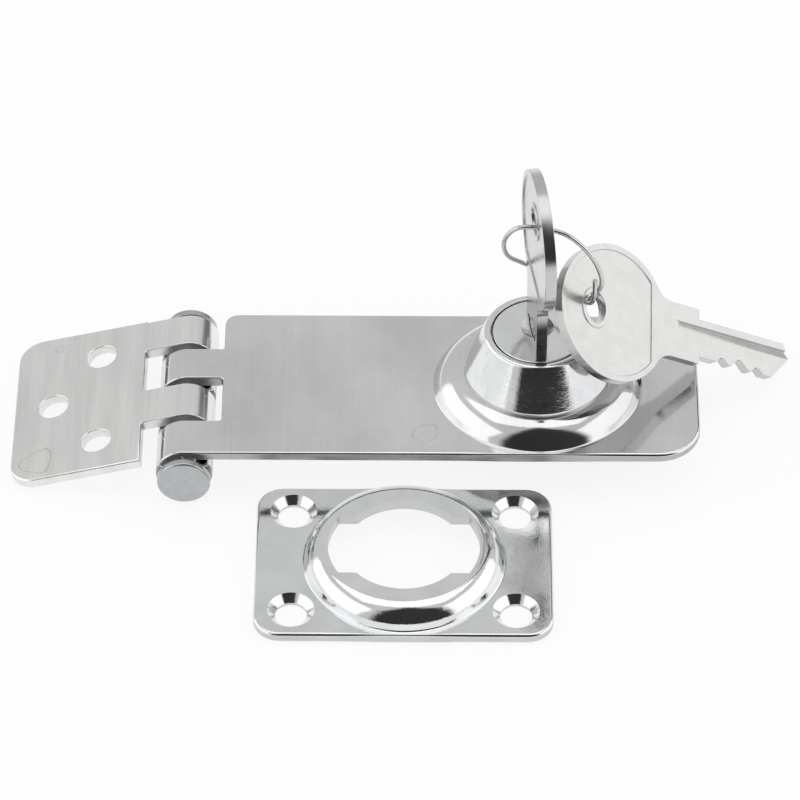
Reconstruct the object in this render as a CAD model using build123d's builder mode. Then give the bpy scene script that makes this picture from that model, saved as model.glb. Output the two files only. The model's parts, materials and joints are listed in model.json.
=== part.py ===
from build123d import *
import math
import os

os.makedirs("parts", exist_ok=True)

# A keyed hasp lock: a hinged hasp with a cylinder lock in its dome, a screw-on leaf, and a loose
# strike plate with a bayonet opening. Millimetres. The origin is the middle of the strike plate's
# underside, on the surface that everything lies on. X runs along the hasp to its free end, Z is up.

# Sheet metal
sheet = 2.0
edge_round = 0.6
leaf_edge_round = 0.4
fusing = 1.0

# Hinge
pin_diameter = 5.9
pin_clearance = 0.05
pin_head_diameter = 9.4
pin_head_thickness = 1.4
pin_head_round = 0.4
pin_front_play = 1.3
pin_back_play = 0.5
knuckle_lengths = [8.3, 8.1, 7.6, 7.4]
knuckle_gap = 1.4
curl_end_angle = 32.0

# Hasp plate, measured from the hinge axis
hasp_width = 36.0
hasp_reach = 91.3
hasp_corner = 7.7
hasp_shoulder = 6.4
hasp_shoulder_corner = 2.5

# Hinge leaf, measured from the hinge axis
leaf_reach = 31.0
leaf_shoulder = 6.9
leaf_corner = 4.5
leaf_hole_diameter = 5.5
leaf_near_holes = 15.2
leaf_far_hole = 23.7
leaf_hole_spread = 21.6

# Strike plate
strike_length = 52.0
strike_width = 36.0
strike_corner = 4.6
strike_gap = 0.4
screw_spacing_x = 39.0
screw_spacing_y = 24.0
screw_hole_diameter = 5.6
screw_head_diameter = 8.2
screw_head_angle = 90.0
opening_radius = 10.7
opening_wing_radius = 13.3
opening_wing_width = 13.8

# Domes pressed into the hasp and the strike: the draft is how far the flank leans in on its way up
dome_height = 4.0
hasp_dome_foot = 18.6
hasp_dome_draft = 3.5
strike_dome_foot = 17.6
strike_dome_draft = 2.5
dome_round = 3.0
dome_foot_blend = 0.4
hollow_round = 1.0

# Placement of the hasp beside the strike
hinge_x = -39.0
lock_reach = 62.5

# Lock body
cone_base_diameter = 26.2
cone_top_diameter = 19.0
cone_height = 9.0
cone_rim = 0.8
cone_top_round = 0.5
barrel_diameter = 19.0
barrel_flats = 16.8
barrel_clearance = 0.1
nut_across_flats = 23.0
nut_thickness = 2.8
nut_chamfer = 0.4

# Plug: the keyway lies off its middle, on the side away from the key's cuts
plug_diameter = 14.0
plug_clearance = 0.05
plug_head_diameter = 16.2
plug_head_thickness = 2.0
plug_head_clearance = 0.15
plug_head_drop = 0.1
face_chamfer = 0.2
keyway_offset = 1.2
dish_diameter = 5.9
dish_depth = 1.1
tail_diameter = 12.4
tail_flats = 9.0
tail_lip = 0.6

# Locking cam, stop washer and clip, stacked under the barrel
cam_thickness = 2.2
cam_clearance = 0.5
tail_fit = 0.05
clip_thickness = 0.8
clip_diameter = 16.0
clip_groove_depth = 0.7
clip_gap = 7.0
stack_play = 0.05
stop_thickness = 0.8
stop_diameter = 17.6
stop_tab_height = 1.2
stop_tab_inner = 7.4
stop_tab_angle = 20.0
stop_tab_at = 45.0
stop_slack = 1.0

# Turning: the key stands a little past the position in which it can be drawn
key_turn = 9.0
lock_turn = 90.0

# Keys
key_thickness = 2.0
bow_diameter = 25.0
bow_to_shoulder = 20.4
neck_width = 10.2
neck_blend = 4.0
blade_length = 22.2
blade_width = 7.0
blade_shift = -0.3
bow_border = 1.1
panel_depth = 0.25
panel_chord = 8.8
hole_offset = 4.4
hole_length = 4.5
hole_width = 5.7
hole_border = 0.9
key_groove_width = 1.6
key_groove_depth = 0.6
key_groove_at = 1.5
key_groove_run = 5.9
tip_at = 0.6
tip_lower = 4.4
tip_upper = 1.5
notch_base = 0.8
notch_slope = 40.0
keyway_clearance = 0.1
keyway_floor = 0.2

# Wafers: one for each place on the key, with the depth of the key's cut there
cut_depths = [0.95, 0.0, 1.5, 0.0, 0.95]
first_cut = 5.7
cut_pitch = 2.15
wafer_thickness = 1.0
wafer_width = 5.0
wafer_play = 0.05
wafer_clearance = 0.05
groove_play = 0.1
wafer_tab_reach = 4.4
wafer_tab_width = 1.0
wafer_tab_at = -1.1
spring_diameter = 1.3
spring_wire = 0.24
spring_length = 3.8
spring_turns = 5
spring_room = 0.1

# Ring and spare key, placed from the lock axis at the level of the table
ring_wire = 0.85
spare_bow = (12.754, 0.111, 27.113)
spare_direction = (0.7629, 0.3075, -0.5686)
spare_normal = (0.6463, -0.3830, 0.6600)

# Levels and places worked out from the sizes
knuckle_inner = pin_diameter / 2 + pin_clearance
knuckle_outer = knuckle_inner + sheet
hinge_z = knuckle_outer
plate_top = hinge_z + knuckle_outer
plate_bottom = plate_top - sheet
dome_top = plate_top + dome_height
hasp_y = strike_width / 2 + strike_gap + hasp_width / 2
lock_x = hinge_x + lock_reach
body_top = dome_top + cone_height
face_z = body_top - plug_head_drop
head_seat = face_z - plug_head_thickness
cam_bottom = tail_lip + clip_thickness + 2 * stack_play
cam_top = cam_bottom + cam_thickness
barrel_bottom = cam_top + stop_thickness + stack_play
shoulder_z = face_z
key_tip_z = shoulder_z - blade_length
dish_radius = (dish_diameter ** 2 / 4 + dish_depth ** 2) / (2 * dish_depth)
leaf_tilt = math.asin(knuckle_outer / math.hypot(leaf_reach, knuckle_inner))
leaf_tilt += math.atan2(knuckle_inner, leaf_reach)
lock_axis = Axis((lock_x, hasp_y, 0), (0, 0, 1))


def lock_section():
    """The upright plane through the lock's axis: x is the radius, y is the height."""
    return Plane(origin=(lock_x, hasp_y, 0), x_dir=(1, 0, 0), z_dir=(0, -1, 0))


def lock_level(z):
    return Plane(origin=(lock_x, hasp_y, z), x_dir=(1, 0, 0), z_dir=(0, 0, 1))


def plug_level(z):
    """A level plane that turns with the plug: x across the keyway, y along it."""
    turn = math.radians(key_turn)
    return Plane(origin=(lock_x, hasp_y, z), x_dir=(math.cos(turn), math.sin(turn), 0), z_dir=(0, 0, 1))


def save(part, name):
    part.label = name
    export_step(part, f"parts/{name}.step")


def corner_radii(points):
    """The largest even bend at each corner of a bent wire, from the two straight runs that meet there."""
    radii = []
    for before, corner, after in zip(points, points[1:], points[2:]):
        incoming = corner - before
        outgoing = after - corner
        half_turn = math.radians(incoming.get_angle(outgoing)) / 2
        radii.append(0.45 * min(incoming.length, outgoing.length) / math.tan(half_turn))
    return radii


def curl_profile(tab_length):
    """Section of a knuckle: sheet tangent to the top of the barrel and rolled round the pin."""
    with BuildSketch() as curl:
        Circle(knuckle_outer)
        Circle(knuckle_inner, mode=Mode.SUBTRACT)
        add(sector(2 * knuckle_outer, curl_end_angle, 90), mode=Mode.SUBTRACT)
        with Locations((tab_length / 2, knuckle_outer - sheet / 2)):
            Rectangle(tab_length, sheet)
    return curl.sketch


def sector(radius, start, end):
    """A wedge from the middle to beyond a radius, between two angles in degrees, under 180 apart."""
    middle = (start + end) / 2
    half_turn = math.radians(end - start) / 2
    corners = [(0, 0)]
    for angle, reach in ((start, radius), (middle, radius / math.cos(half_turn)), (end, radius)):
        corners.append((reach * math.cos(math.radians(angle)), reach * math.sin(math.radians(angle))))
    with BuildSketch() as wedge:
        with BuildLine():
            Polyline(*corners, close=True)
        make_face()
    return wedge.sketch


def dome_profile(foot, draft, base, seat):
    """Half section of a pressed dome's outside, standing on the sheet's upper face."""
    skirt = foot + dome_foot_blend + sheet / 2
    crown = foot - draft
    with BuildSketch() as profile:
        with BuildLine():
            Polyline((0, base), (skirt, base), (skirt, seat), (foot, seat), (crown, seat + dome_height),
                     (0, seat + dome_height), close=True)
        make_face()
        corners = profile.vertices().sort_by_distance((foot, seat))
        fillet(corners[0], dome_foot_blend)
        corners = profile.vertices().sort_by_distance((crown, seat + dome_height))
        fillet(corners[0], dome_round)
    return profile.sketch


def hollow_profile(foot, draft, underside):
    """Half section of the space under a pressed dome, whose flank is as thick as the sheet."""
    lean = sheet * (math.hypot(dome_height, draft) - draft) / dome_height
    wall = foot - lean
    crown = wall - draft
    ceiling = underside + dome_height
    with BuildSketch() as profile:
        with BuildLine():
            Polyline((0, underside - sheet), (wall, underside - sheet), (wall, underside), (crown, ceiling),
                     (0, ceiling), close=True)
        make_face()
        corners = profile.vertices().sort_by_distance((crown, ceiling))
        fillet(corners[0], hollow_round)
    return profile.sketch


def double_d(diameter, flats):
    """A round with two flats, facing along x."""
    with BuildSketch() as outline:
        Circle(diameter / 2)
        Rectangle(flats, diameter, mode=Mode.INTERSECT)
    return outline.sketch


# Knuckles alternate from the front: hasp, leaf, hasp, leaf
stations = []
station_y = hasp_y - hasp_width / 2
for length in knuckle_lengths:
    stations.append((station_y, length))
    station_y += length + knuckle_gap
knuckles_end = station_y - knuckle_gap
hasp_stations = stations[0::2]
leaf_stations = stations[1::2]

# Hasp plate: sheet with rolled knuckles and a pressed dome
plate_length = hasp_reach - hasp_shoulder

with BuildPart() as hasp_dome:
    with BuildSketch(lock_section()):
        add(dome_profile(hasp_dome_foot, hasp_dome_draft, plate_bottom + sheet / 2, plate_top))
    revolve(axis=lock_axis)
    with BuildSketch(lock_level(0)):
        Rectangle(2 * plate_length, hasp_width)
    extrude(amount=dome_top, mode=Mode.INTERSECT)

with BuildPart() as hasp_hollow:
    with BuildSketch(lock_section()):
        add(hollow_profile(hasp_dome_foot, hasp_dome_draft, plate_bottom))
    revolve(axis=lock_axis)
    with BuildSketch(lock_level(0)):
        Rectangle(2 * plate_length, hasp_width - 2 * sheet)
    extrude(amount=dome_top, mode=Mode.INTERSECT)

with BuildPart() as hasp_plate:
    with BuildSketch(Plane.XY.offset(plate_bottom)) as outline:
        with Locations((hinge_x + hasp_shoulder + plate_length / 2, hasp_y)):
            Rectangle(plate_length, hasp_width)
        fillet(outline.vertices().group_by(Axis.X)[-1], hasp_corner)
        back_corner = outline.vertices().group_by(Axis.X)[0].sort_by(Axis.Y)[-1]
        fillet(back_corner, hasp_shoulder_corner)
    extrude(amount=sheet)
    rims = hasp_plate.edges().group_by(Axis.Z)
    fillet(rims[0] + rims[-1], edge_round)
    add(hasp_dome.part)
    for station, length in hasp_stations:
        with BuildSketch(Plane(origin=(hinge_x, station, hinge_z), x_dir=(1, 0, 0), z_dir=(0, -1, 0))):
            add(curl_profile(hasp_shoulder + fusing))
        extrude(amount=-length)
    add(hasp_hollow.part, mode=Mode.SUBTRACT)
    with BuildSketch(lock_level(plate_bottom)):
        add(double_d(barrel_diameter + 2 * barrel_clearance, barrel_flats + 2 * barrel_clearance))
    extrude(amount=dome_height + 2 * sheet, mode=Mode.SUBTRACT)
save(hasp_plate.part, "hasp_plate")

# Hinge leaf: tilted so that its far edge rests on the table
leaf_along = (-math.cos(leaf_tilt), 0, -math.sin(leaf_tilt))
leaf_up = (-math.sin(leaf_tilt), 0, math.cos(leaf_tilt))
leaf_length = leaf_reach - leaf_shoulder
leaf_middle = Plane(origin=(hinge_x, hasp_y, hinge_z), x_dir=leaf_along, z_dir=leaf_up)
leaf_underside = leaf_middle.offset(knuckle_inner)

with BuildPart() as hinge_leaf:
    with BuildSketch(leaf_underside) as outline:
        with Locations((leaf_shoulder + leaf_length / 2, 0)):
            Rectangle(leaf_length, hasp_width)
        fillet(outline.vertices().group_by(Axis.X)[-1], leaf_corner)
    extrude(amount=sheet)
    rims = hinge_leaf.edges().group_by(Axis(leaf_underside.origin, leaf_underside.z_dir))
    fillet(rims[0] + rims[-1], leaf_edge_round)
    for station, length in leaf_stations:
        with BuildSketch(Plane(origin=(hinge_x, station, hinge_z), x_dir=leaf_along, z_dir=(0, 1, 0))):
            add(curl_profile(leaf_shoulder + fusing))
        extrude(amount=length)
    with BuildSketch(leaf_underside):
        with Locations((leaf_near_holes, leaf_hole_spread / 2), (leaf_near_holes, -leaf_hole_spread / 2),
                       (leaf_far_hole, 0)):
            Circle(leaf_hole_diameter / 2)
    extrude(amount=sheet, mode=Mode.SUBTRACT)
save(hinge_leaf.part, "hinge_leaf")

# Hinge pin, headed at both ends
pin_front = hasp_y - hasp_width / 2 - pin_front_play
pin_back = knuckles_end + pin_back_play

with BuildPart() as hinge_pin:
    with BuildSketch(Plane(origin=(hinge_x, pin_front, hinge_z), x_dir=(1, 0, 0), z_dir=(0, -1, 0))):
        Circle(pin_diameter / 2)
    extrude(amount=pin_front - pin_back)
    for head_y, thickness in ((pin_front, pin_head_thickness), (pin_back, -pin_head_thickness)):
        with BuildSketch(Plane(origin=(hinge_x, head_y, hinge_z), x_dir=(1, 0, 0), z_dir=(0, -1, 0))):
            Circle(pin_head_diameter / 2)
        extrude(amount=thickness)
    ends = hinge_pin.edges().group_by(Axis.Y)
    fillet(ends[0] + ends[-1], pin_head_round)
save(hinge_pin.part, "hinge_pin")

# Strike plate: screwed to the frame, with a bayonet opening in its dome
strike_axis = Axis.Z
strike_section = Plane(origin=(0, 0, 0), x_dir=(1, 0, 0), z_dir=(0, -1, 0))

with BuildPart() as strike_hollow:
    with BuildSketch(strike_section):
        add(hollow_profile(strike_dome_foot, strike_dome_draft, 0))
    revolve(axis=strike_axis)

with BuildPart() as strike_dome:
    with BuildSketch(strike_section):
        add(dome_profile(strike_dome_foot, strike_dome_draft, sheet / 2, sheet))
    revolve(axis=strike_axis)
    with BuildSketch():
        Rectangle(strike_length, strike_width)
    extrude(amount=sheet + dome_height, mode=Mode.INTERSECT)

with BuildPart() as strike_plate:
    with BuildSketch():
        RectangleRounded(strike_length, strike_width, strike_corner)
    extrude(amount=sheet)
    rims = strike_plate.edges().group_by(Axis.Z)
    fillet(rims[0] + rims[-1], edge_round)
    add(strike_dome.part)
    add(strike_hollow.part, mode=Mode.SUBTRACT)
    with BuildSketch() as opening:
        Circle(opening_wing_radius)
        Rectangle(2 * opening_wing_radius, opening_wing_width, mode=Mode.INTERSECT)
        Circle(opening_radius)
    extrude(amount=dome_height + 2 * sheet, mode=Mode.SUBTRACT)
    with Locations(Plane.XY.offset(sheet)):
        with GridLocations(screw_spacing_x, screw_spacing_y, 2, 2):
            CounterSinkHole(screw_hole_diameter / 2, screw_head_diameter / 2, depth=sheet,
                            counter_sink_angle=screw_head_angle)
save(strike_plate.part, "strike_plate")

# Lock body: tapered bezel and barrel, turned in one piece
cone_base = cone_base_diameter / 2
cone_top = cone_top_diameter / 2
bore = plug_diameter / 2 + plug_clearance
head_bore = plug_head_diameter / 2 + plug_head_clearance
wafer_levels = [shoulder_z - first_cut - i * cut_pitch for i in range(len(cut_depths))]
groove_width = wafer_width + 2 * groove_play
groove_reach = plug_diameter / 2 + max(cut_depths)
groove_bottom = wafer_levels[-1] - wafer_thickness
groove_top = wafer_levels[0] + wafer_thickness
recess_start = stop_tab_at - stop_tab_angle / 2 - stop_slack
recess_end = stop_tab_at + lock_turn + stop_tab_angle / 2 + stop_slack

with BuildPart() as lock_body:
    with BuildSketch(lock_section()) as profile:
        with BuildLine():
            Polyline((0, barrel_bottom), (barrel_diameter / 2, barrel_bottom),
                     (barrel_diameter / 2, dome_top), (cone_base, dome_top),
                     (cone_base, dome_top + cone_rim), (cone_top, body_top), (0, body_top), close=True)
        make_face()
        rim_corner = profile.vertices().sort_by_distance((cone_top, body_top))[0]
        fillet(rim_corner, cone_top_round)
    revolve(axis=lock_axis)
    with BuildSketch(lock_level(barrel_bottom)):
        Circle(barrel_diameter)
        add(double_d(2 * barrel_diameter, barrel_flats), mode=Mode.SUBTRACT)
    extrude(amount=dome_top - barrel_bottom, mode=Mode.SUBTRACT)
    with BuildSketch(lock_level(barrel_bottom)):
        Circle(bore)
    extrude(amount=cone_height + dome_top, mode=Mode.SUBTRACT)
    with BuildSketch(lock_level(head_seat)):
        Circle(head_bore)
    extrude(amount=body_top, mode=Mode.SUBTRACT)
    with BuildSketch(lock_level(groove_bottom)):
        Rectangle(groove_width, 2 * groove_reach)
    extrude(amount=groove_top - groove_bottom, mode=Mode.SUBTRACT)
    with BuildSketch(lock_level(barrel_bottom)):
        Circle(barrel_diameter)
        Circle(stop_tab_inner - plug_head_clearance, mode=Mode.SUBTRACT)
        add(sector(2 * barrel_diameter, recess_start, recess_end), mode=Mode.INTERSECT)
    extrude(amount=stop_tab_height + 2 * stack_play, mode=Mode.SUBTRACT)
save(lock_body.part, "lock_body")

# Clamp nut: holds the lock body up against the inside of the dome
nut_top = plate_bottom + dome_height

with BuildPart() as clamp_nut:
    with BuildSketch(lock_level(nut_top - nut_thickness)):
        RegularPolygon(nut_across_flats / 2, 6, major_radius=False)
        Circle(barrel_diameter / 2 + barrel_clearance, mode=Mode.SUBTRACT)
    extrude(amount=nut_thickness)
    lower_rim = clamp_nut.edges().group_by(Axis.Z)[0].filter_by(GeomType.LINE)
    chamfer(lower_rim, nut_chamfer)
save(clamp_nut.part, "clamp_nut")

# Plug: turned head and body, keyway, wafer chambers, and a tail with two flats
keyway_width = blade_width + 2 * keyway_clearance
keyway_gap = key_thickness + 2 * keyway_clearance
ward_width = key_groove_width - 2 * keyway_clearance
ward_height = key_groove_depth - keyway_clearance
pocket_reach = wafer_tab_reach + 2 * wafer_play
pocket_start = wafer_tab_at - wafer_tab_width / 2 - max(cut_depths) - wafer_play
pocket_end = wafer_tab_at + wafer_tab_width / 2 + spring_length
pocket_height = spring_diameter + spring_room

with BuildPart() as plug:
    with BuildSketch(lock_section()) as profile:
        with BuildLine():
            Polyline((0, 0), (tail_diameter / 2, 0), (tail_diameter / 2, barrel_bottom),
                     (plug_diameter / 2, barrel_bottom), (plug_diameter / 2, head_seat),
                     (plug_head_diameter / 2, head_seat), (plug_head_diameter / 2, face_z),
                     (0, face_z), close=True)
        make_face()
        rim_corner = profile.vertices().sort_by_distance((plug_head_diameter / 2, face_z))[0]
        chamfer(rim_corner, face_chamfer)
    revolve(axis=lock_axis)
    with BuildSketch(plug_level(0)):
        Circle(tail_diameter)
        add(double_d(2 * tail_diameter, tail_flats), mode=Mode.SUBTRACT)
    extrude(amount=barrel_bottom, mode=Mode.SUBTRACT)
    with BuildSketch(plug_level(tail_lip)):
        Circle(tail_diameter)
        Circle(tail_diameter / 2 - clip_groove_depth, mode=Mode.SUBTRACT)
    extrude(amount=clip_thickness + stack_play, mode=Mode.SUBTRACT)
    with Locations(plug_level(face_z - dish_depth + dish_radius)):
        with Locations((0, keyway_offset)):
            Sphere(dish_radius, mode=Mode.SUBTRACT)
    with BuildSketch(plug_level(key_tip_z - keyway_floor)):
        with Locations((0, keyway_offset)):
            Rectangle(keyway_gap, keyway_width)
        with Locations((keyway_gap / 2 - ward_height / 2, keyway_offset + key_groove_at)):
            Rectangle(ward_height, ward_width, mode=Mode.SUBTRACT)
    extrude(amount=blade_length + keyway_floor, mode=Mode.SUBTRACT)
    for level in wafer_levels:
        with BuildSketch(plug_level(level - wafer_thickness / 2 - wafer_play)):
            Rectangle(wafer_width + 2 * wafer_play, plug_diameter)
        extrude(amount=wafer_thickness + 2 * wafer_play, mode=Mode.SUBTRACT)
        with BuildSketch(plug_level(level - pocket_height / 2)):
            with Locations((pocket_reach / 2, (pocket_start + pocket_end) / 2)):
                Rectangle(pocket_reach, pocket_end - pocket_start)
        extrude(amount=pocket_height, mode=Mode.SUBTRACT)
save(plug.part, "plug")

# Wafers and their springs: each wafer's window bears on the key's cut, so that its ends are flush
for number, (level, depth) in enumerate(zip(wafer_levels, cut_depths), start=1):
    with BuildPart() as wafer:
        with BuildSketch(plug_level(level - wafer_thickness / 2)):
            Circle(plug_diameter / 2 - wafer_clearance)
            Rectangle(wafer_width, plug_diameter, mode=Mode.INTERSECT)
            with Locations((wafer_tab_reach / 2, wafer_tab_at)):
                Rectangle(wafer_tab_reach, wafer_tab_width)
            with Locations((0, keyway_offset + depth)):
                Rectangle(keyway_gap, keyway_width, mode=Mode.SUBTRACT)
        extrude(amount=wafer_thickness)
    save(wafer.part, f"wafer_{number}")

    coil_radius = (spring_diameter - spring_wire) / 2
    coil_height = spring_length - spring_wire - 2 * wafer_play
    coil_start = plug_level(level).from_local_coords(
        (wafer_tab_reach - spring_diameter / 2, wafer_tab_at + wafer_tab_width / 2 + spring_wire / 2, 0))
    with BuildPart() as spring:
        with BuildLine() as coil:
            Helix(pitch=coil_height / spring_turns, height=coil_height, radius=coil_radius,
                  center=coil_start, direction=plug_level(0).y_dir)
        with BuildSketch(Plane(origin=coil.line @ 0, z_dir=coil.line % 0)):
            Circle(spring_wire / 2)
        sweep(is_frenet=True)
    save(spring.part, f"wafer_spring_{number}")

# Locking cam: a disc with two wings, the shape of the strike's opening with room to pass it
with BuildPart() as locking_cam:
    with BuildSketch(plug_level(cam_bottom)):
        Circle(opening_wing_radius - cam_clearance)
        Rectangle(2 * opening_wing_radius, opening_wing_width - 2 * cam_clearance, mode=Mode.INTERSECT)
        Circle(opening_radius - cam_clearance)
        add(double_d(tail_diameter + 2 * tail_fit, tail_flats + 2 * tail_fit), mode=Mode.SUBTRACT)
    extrude(amount=cam_thickness)
save(locking_cam.part, "locking_cam")

# Stop washer: its tab runs in the recess in the barrel's end and sets how far the plug turns
with BuildPart() as stop_washer:
    with BuildSketch(plug_level(cam_top)):
        Circle(stop_diameter / 2)
        add(double_d(tail_diameter + 2 * tail_fit, tail_flats + 2 * tail_fit), mode=Mode.SUBTRACT)
    extrude(amount=stop_thickness)
    with BuildSketch(plug_level(cam_top)):
        Circle(stop_diameter / 2)
        Circle(stop_tab_inner, mode=Mode.SUBTRACT)
        add(sector(stop_diameter, stop_tab_at - stop_tab_angle / 2, stop_tab_at + stop_tab_angle / 2),
            mode=Mode.INTERSECT)
    extrude(amount=stop_thickness + stop_tab_height)
save(stop_washer.part, "stop_washer")

# Retaining clip: an open ring snapped into the tail's groove
with BuildPart() as retaining_clip:
    with BuildSketch(plug_level(tail_lip + stack_play / 2)):
        Circle(clip_diameter / 2)
        Circle(tail_diameter / 2 - clip_groove_depth + tail_fit, mode=Mode.SUBTRACT)
        with Locations((0, -clip_diameter / 2)):
            Rectangle(clip_gap, clip_diameter, mode=Mode.SUBTRACT)
    extrude(amount=clip_thickness)
save(retaining_clip.part, "retaining_clip")

# Keys: round bow with a recessed panel, neck, and a blade cut along one edge
turned_bow = plug_level(shoulder_z + bow_to_shoulder).from_local_coords((0, keyway_offset - blade_shift, 0))
turned_plane = Plane(origin=turned_bow, x_dir=(0, 0, -1), z_dir=plug_level(0).x_dir)
spare_plane = Plane(origin=(lock_x + spare_bow[0], hasp_y + spare_bow[1], spare_bow[2]),
                    x_dir=spare_direction, z_dir=spare_normal)
blade_tip = bow_to_shoulder + blade_length
blade_root = bow_to_shoulder - fusing
blade_low = blade_shift - blade_width / 2
blade_high = blade_shift + blade_width / 2
notch_rise = math.tan(math.radians(notch_slope))

for name, key_plane in (("turned_key", turned_plane), ("spare_key", spare_plane)):
    with BuildPart() as key:
        with BuildSketch(key_plane) as blank:
            Circle(bow_diameter / 2)
            with Locations((bow_to_shoulder / 2, 0)):
                Rectangle(bow_to_shoulder, neck_width)
            fillet(blank.vertices().group_by(Axis.X)[0], neck_blend)
            with BuildLine():
                Polyline((blade_root, blade_low), (blade_tip - tip_lower, blade_low), (blade_tip, tip_at),
                         (blade_tip - tip_upper, blade_high), (blade_root, blade_high), close=True)
            make_face()
            for place, depth in enumerate(cut_depths):
                if depth > 0:
                    along = bow_to_shoulder + first_cut + place * cut_pitch
                    flank = depth / notch_rise
                    with BuildLine():
                        Polyline((along - notch_base / 2 - flank, blade_low),
                                 (along - notch_base / 2, blade_low + depth),
                                 (along + notch_base / 2, blade_low + depth),
                                 (along + notch_base / 2 + flank, blade_low), close=True)
                    make_face(mode=Mode.SUBTRACT)
            with Locations((-hole_offset, 0)):
                Ellipse(hole_length / 2, hole_width / 2, mode=Mode.SUBTRACT)
        extrude(amount=key_thickness / 2, both=True)
        for side in (1, -1):
            with BuildSketch(key_plane.offset(side * key_thickness / 2)):
                Circle(bow_diameter / 2 - bow_border)
                with Locations((panel_chord + bow_diameter / 2, 0)):
                    Rectangle(bow_diameter, bow_diameter, mode=Mode.SUBTRACT)
                with Locations((-hole_offset, 0)):
                    Ellipse(hole_length / 2 + hole_border, hole_width / 2 + hole_border, mode=Mode.SUBTRACT)
            extrude(amount=-side * panel_depth, mode=Mode.SUBTRACT)
        with BuildSketch(key_plane.offset(key_thickness / 2)):
            groove_length = blade_length + key_groove_run
            with Locations((blade_tip - groove_length / 2, blade_shift + key_groove_at)):
                Rectangle(groove_length, key_groove_width)
        extrude(amount=-key_groove_depth, mode=Mode.SUBTRACT)
    save(key.part, name)

# Key ring: one turn of wire with its ends lapped in the spare key's hole
ring_path = [(9.6, -1.9, 36.9), (9.8, -2.1, 33.0), (8.8, -1.3, 30.4), (5.7, 4.4, 27.9), (1.5, 8.8, 28.8),
             (-2.8, 8.2, 31.8), (-6.0, 4.2, 37.0), (-6.6, 1.8, 43.0), (-4.3, 1.0, 46.9), (0.0, 1.0, 46.6),
             (5.0, 0.3, 45.7), (9.4, -0.9, 41.3), (11.2, -1.5, 36.0), (9.8, -0.9, 32.4), (8.2, 0.3, 29.8)]
ring_points = [Vector(lock_x + x, hasp_y + y, z) for x, y, z in ring_path]

with BuildPart() as key_ring:
    with BuildLine() as loop:
        FilletPolyline(*ring_points, radius=corner_radii(ring_points))
    with BuildSketch(Plane(origin=loop.line @ 0, z_dir=loop.line % 0)):
        Circle(ring_wire / 2)
    sweep()
save(key_ring.part, "key_ring")
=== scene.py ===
import json
import math

import bmesh
import bpy
from mathutils import Matrix, Vector


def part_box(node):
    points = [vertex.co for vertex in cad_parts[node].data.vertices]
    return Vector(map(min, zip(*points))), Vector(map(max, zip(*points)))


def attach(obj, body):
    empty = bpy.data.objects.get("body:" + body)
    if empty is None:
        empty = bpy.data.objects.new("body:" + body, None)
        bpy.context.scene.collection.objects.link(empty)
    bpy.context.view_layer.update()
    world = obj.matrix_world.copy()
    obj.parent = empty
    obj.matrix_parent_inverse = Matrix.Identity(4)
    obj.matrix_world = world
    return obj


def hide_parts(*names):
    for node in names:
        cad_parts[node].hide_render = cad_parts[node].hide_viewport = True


bl_info = {
    "name": "Keyed hasp lock",
    "version": (1, 0, 0),
    "blender": (4, 5, 0),
    "location": "View3D > Sidebar > Hasp lock",
    "description": "Dresses a hinged hasp with its cylinder lock, strike plate, keys and ring",
    "category": "Object",
}

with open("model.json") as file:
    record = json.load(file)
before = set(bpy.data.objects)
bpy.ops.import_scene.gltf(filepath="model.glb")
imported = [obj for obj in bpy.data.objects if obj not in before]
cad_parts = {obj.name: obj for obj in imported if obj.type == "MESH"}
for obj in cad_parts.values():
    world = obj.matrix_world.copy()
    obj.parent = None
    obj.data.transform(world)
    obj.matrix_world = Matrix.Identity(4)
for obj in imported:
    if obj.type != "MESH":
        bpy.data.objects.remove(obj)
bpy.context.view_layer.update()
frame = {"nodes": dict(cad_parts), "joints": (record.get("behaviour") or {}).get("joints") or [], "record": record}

MM = 0.001
FULL_TURN = 2 * math.pi
UP = Vector((0, 0, 1))

# Where things are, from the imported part
joints = {joint["name"]: joint for joint in frame["joints"]}
mounts = {mount["name"]: mount for mount in frame["record"]["mounts"]}
hinge_axis = Vector(joints["leaf_hinge"]["pos_m"])
lock_axis = Vector(joints["plug_turn"]["pos_m"])
lock_ground = Vector((lock_axis.x, lock_axis.y, 0))
key_turn = -math.radians(joints["plug_turn"]["range_deg"][0])
hasp_low, hasp_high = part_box("hasp_plate")
strike_low, strike_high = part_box("strike_plate")
leaf_low, leaf_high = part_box("hinge_leaf")
body_low, body_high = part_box("lock_body")
plug_low, plug_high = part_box("plug")
pin_low, pin_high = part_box("hinge_pin")
barrel_radius = hinge_axis.x - hasp_low.x
plate_top = hinge_axis.z + barrel_radius
leaf_up = Vector(mounts["leaf_screw_end"]["axis"])
leaf_tilt = math.atan2(-leaf_up.x, leaf_up.z)
leaf_holes = [Vector(mounts[name]["pos_m"])
              for name in ("leaf_screw_back", "leaf_screw_front", "leaf_screw_end")]
leaf_hole_radius = mounts["leaf_screw_end"]["dims"]["r_mm"] * MM
bolts = mounts["strike_screws"]["dims"]
half_x, half_y = bolts["spacing_x_mm"] / 2 * MM, bolts["spacing_y_mm"] / 2 * MM
strike_holes = [Vector((x, y, 0)) for x in (-half_x, half_x) for y in (-half_y, half_y)]
strike_hole_radius = bolts["hole_r_mm"] * MM

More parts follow.
